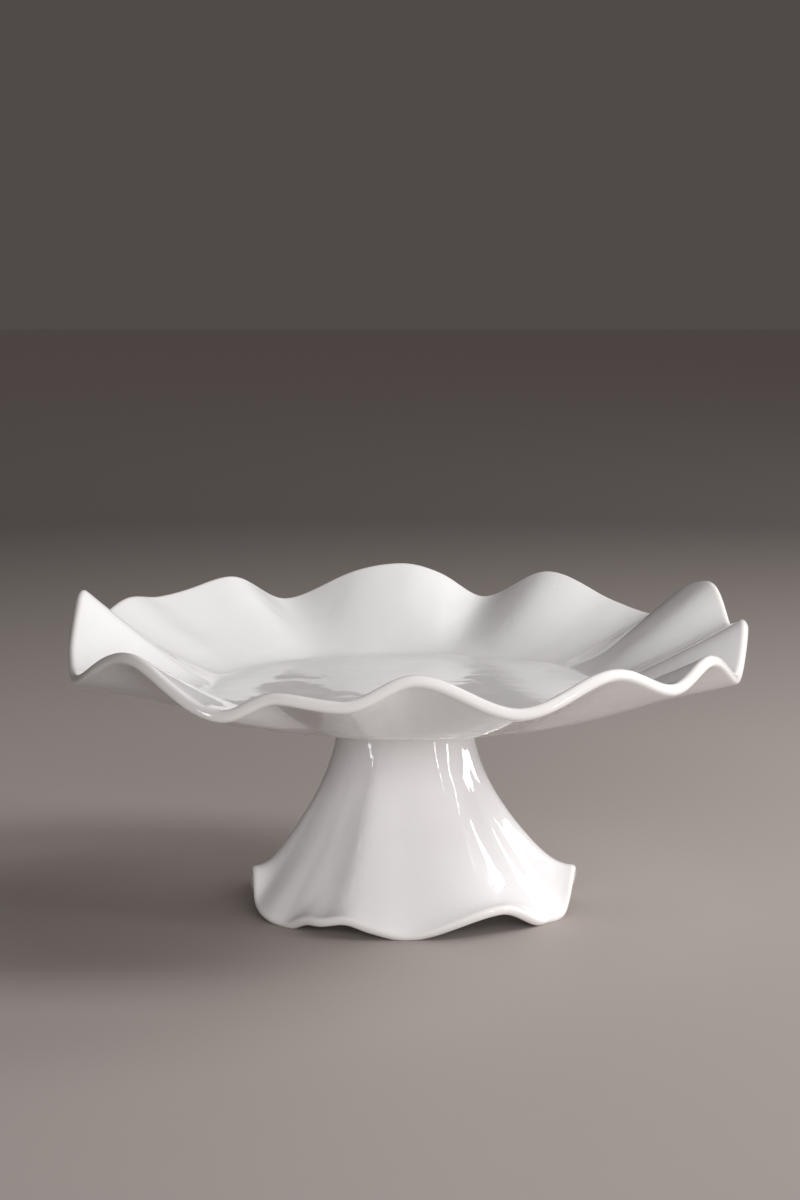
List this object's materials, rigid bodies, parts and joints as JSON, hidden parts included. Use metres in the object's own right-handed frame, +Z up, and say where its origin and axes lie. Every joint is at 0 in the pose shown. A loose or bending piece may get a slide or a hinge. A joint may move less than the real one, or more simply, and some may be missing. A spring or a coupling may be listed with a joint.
{
  "type": "cake stand",
  "caption": "Pedestal cake stand: round plate with a flat floor and an irregular ruffled rim, on a hollow fluted pedestal with a wavy hem, held by one screw from below.",
  "frame": {"origin": "on the table under the middle of the plate, which is the axis of the neck and of the screw", "axes": "+Z up out of the cake floor, -Y towards the front, +X to the right seen from the front"},
  "size_m": [0.335, 0.3272, 0.156],
  "materials": {
    "plate_glaze": "clear glossy glaze over a white body, slightly soft and wavy",
    "pedestal_glaze": "clear glossy glaze over a white body, bare ground lands under the feet",
    "soft_silicone": "matt translucent silicone",
    "insert_brass": "turned brass",
    "potting_epoxy": "cured filled epoxy",
    "zinc_steel": "bright zinc plated steel"
  },
  "bodies": {
    "root": {"plate": "plate_glaze", "pedestal": "pedestal_glaze", "seat_gasket": "soft_silicone", "threaded_insert": "insert_brass", "insert_potting": "potting_epoxy", "cushion_washer": "soft_silicone", "flat_washer": "zinc_steel", "lock_washer": "zinc_steel", "fixing_screw": "zinc_steel"}
  },
  "joints": []
}
